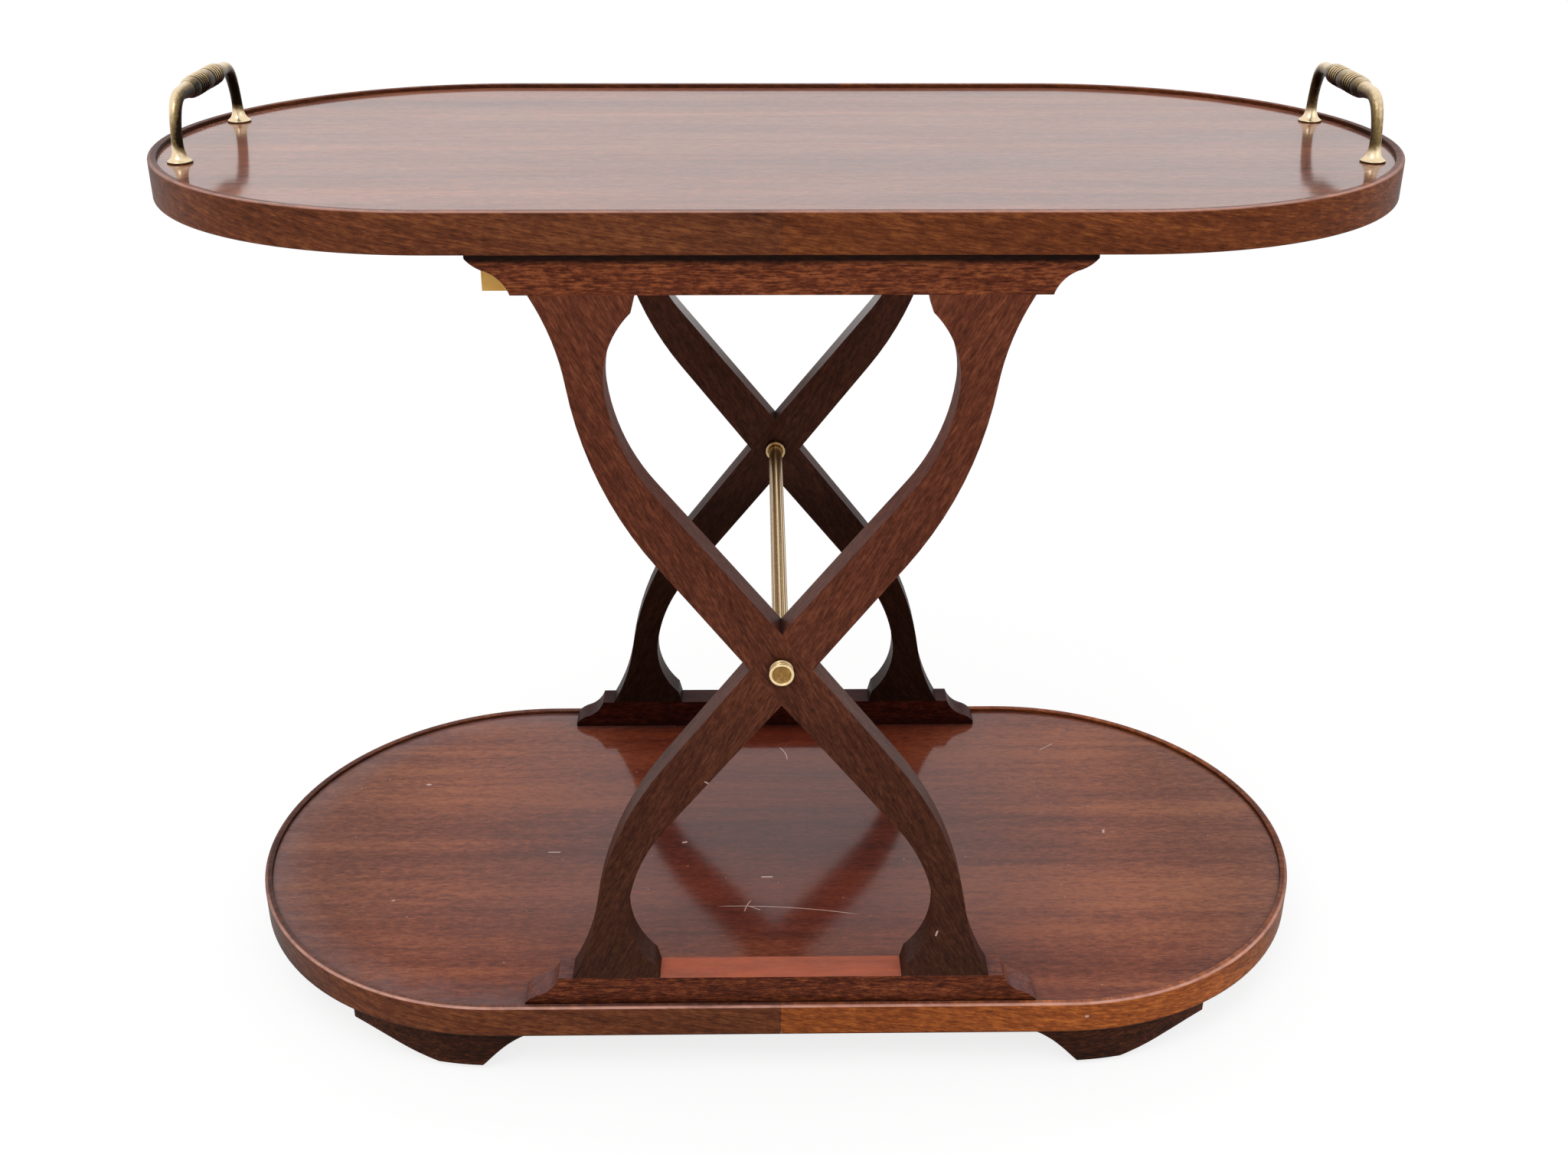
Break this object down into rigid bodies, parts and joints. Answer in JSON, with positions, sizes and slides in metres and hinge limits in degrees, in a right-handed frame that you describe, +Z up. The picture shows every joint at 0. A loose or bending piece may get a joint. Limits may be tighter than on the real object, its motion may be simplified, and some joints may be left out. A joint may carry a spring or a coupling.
{
  "type": "serving trolley",
  "caption": "Oval serving trolley: lipped top and lower boards on crossed curved legs, brass bow handles at the ends, castors hidden behind bracket feet.",
  "frame": {"origin": "centre of the bounding box at the floor, where the castor wheels touch", "axes": "+X along the tiers towards the right handle, +Y from the front X-frame to the back one, +Z up"},
  "size_m": [0.8998, 0.4602, 0.7305],
  "materials": {
    "mahogany_board": "polished red-brown mahogany veneer",
    "mahogany_lipping_left": "polished solid mahogany lipping, darker half",
    "mahogany_lipping_right": "polished solid mahogany lipping, lighter half",
    "mahogany_rail": "polished mahogany, grain along the rail",
    "mahogany_leg_left": "polished mahogany, grain along the leg",
    "mahogany_leg_right": "polished mahogany, grain along the leg",
    "mahogany_foot": "polished dark mahogany",
    "pale_wood": "unfinished pale softwood",
    "dowel_wood": "plain beech dowel",
    "brass_rod": "aged polished brass",
    "brass_handle": "aged cast brass",
    "screw_steel": "plated steel",
    "castor_steel": "zinc plated pressed steel",
    "wheel_nylon": "black nylon"
  },
  "bodies": {
    "trolley": {"top_board": "mahogany_board", "top_rim_left": "mahogany_lipping_left", "top_rim_right": "mahogany_lipping_right", "lower_board": "mahogany_board", "lower_rim_left": "mahogany_lipping_left", "lower_rim_right": "mahogany_lipping_right", "front_upper_rail": "mahogany_rail", "back_upper_rail": "mahogany_rail", "front_lower_rail": "mahogany_rail", "back_lower_rail": "mahogany_rail", "front_leg_left": "mahogany_leg_left", "front_leg_right": "mahogany_leg_right", "back_leg_left": "mahogany_leg_left", "back_leg_right": "mahogany_leg_right", "stretcher_rod": "brass_rod", "rod_collars": "brass_rod", "front_knob": "brass_rod", "back_knob": "brass_rod", "left_cleat": "pale_wood", "right_cleat": "pale_wood", "left_handle_front_post": "brass_handle", "left_handle_back_post": "brass_handle", "left_handle_grip": "brass_handle", "right_handle_front_post": "brass_handle", "right_handle_back_post": "brass_handle", "right_handle_grip": "brass_handle", "front_left_foot": "mahogany_foot", "front_right_foot": "mahogany_foot", "back_left_foot": "mahogany_foot", "back_right_foot": "mahogany_foot", "leg_dowels": "dowel_wood", "top_rail_screws": "screw_steel", "lower_rail_screws": "screw_steel", "cleat_screws": "screw_steel", "foot_screws": "screw_steel", "handle_screws": "screw_steel", "castor_screws": "screw_steel", "front_left_castor_plate": "castor_steel", "front_right_castor_plate": "castor_steel", "back_left_castor_plate": "castor_steel", "back_right_castor_plate": "castor_steel", "front_left_kingpin": "castor_steel", "front_right_kingpin": "castor_steel", "back_left_kingpin": "castor_steel", "back_right_kingpin": "castor_steel"},
    "front_left_castor_fork": {"front_left_fork": "castor_steel", "front_left_axle": "castor_steel"},
    "front_left_castor_wheel": {"front_left_wheel": "wheel_nylon"},
    "front_right_castor_fork": {"front_right_fork": "castor_steel", "front_right_axle": "castor_steel"},
    "front_right_castor_wheel": {"front_right_wheel": "wheel_nylon"},
    "back_left_castor_fork": {"back_left_fork": "castor_steel", "back_left_axle": "castor_steel"},
    "back_left_castor_wheel": {"back_left_wheel": "wheel_nylon"},
    "back_right_castor_fork": {"back_right_fork": "castor_steel", "back_right_axle": "castor_steel"},
    "back_right_castor_wheel": {"back_right_wheel": "wheel_nylon"}
  },
  "joints": [
    {"name": "front_left_swivel", "type": "hinge", "parent": "trolley", "child": "front_left_castor_fork", "pos_m": [-0.26738, -0.17309, 0.0315], "axis": [0, 0, 1], "continuous": true},
    {"name": "front_left_roll", "type": "hinge", "parent": "front_left_castor_fork", "child": "front_left_castor_wheel", "pos_m": [-0.25838, -0.17309, 0.013], "axis": [0, 1, 0], "continuous": true},
    {"name": "front_right_swivel", "type": "hinge", "parent": "trolley", "child": "front_right_castor_fork", "pos_m": [0.26738, -0.17309, 0.0315], "axis": [0, 0, 1], "continuous": true},
    {"name": "front_right_roll", "type": "hinge", "parent": "front_right_castor_fork", "child": "front_right_castor_wheel", "pos_m": [0.27638, -0.17309, 0.013], "axis": [0, 1, 0], "continuous": true},
    {"name": "back_left_swivel", "type": "hinge", "parent": "trolley", "child": "back_left_castor_fork", "pos_m": [-0.26738, 0.17309, 0.0315], "axis": [0, 0, 1], "continuous": true},
    {"name": "back_left_roll", "type": "hinge", "parent": "back_left_castor_fork", "child": "back_left_castor_wheel", "pos_m": [-0.25838, 0.17309, 0.013], "axis": [0, 1, 0], "continuous": true},
    {"name": "back_right_swivel", "type": "hinge", "parent": "trolley", "child": "back_right_castor_fork", "pos_m": [0.26738, 0.17309, 0.0315], "axis": [0, 0, 1], "continuous": true},
    {"name": "back_right_roll", "type": "hinge", "parent": "back_right_castor_fork", "child": "back_right_castor_wheel", "pos_m": [0.27638, 0.17309, 0.013], "axis": [0, 1, 0], "continuous": true}
  ]
}
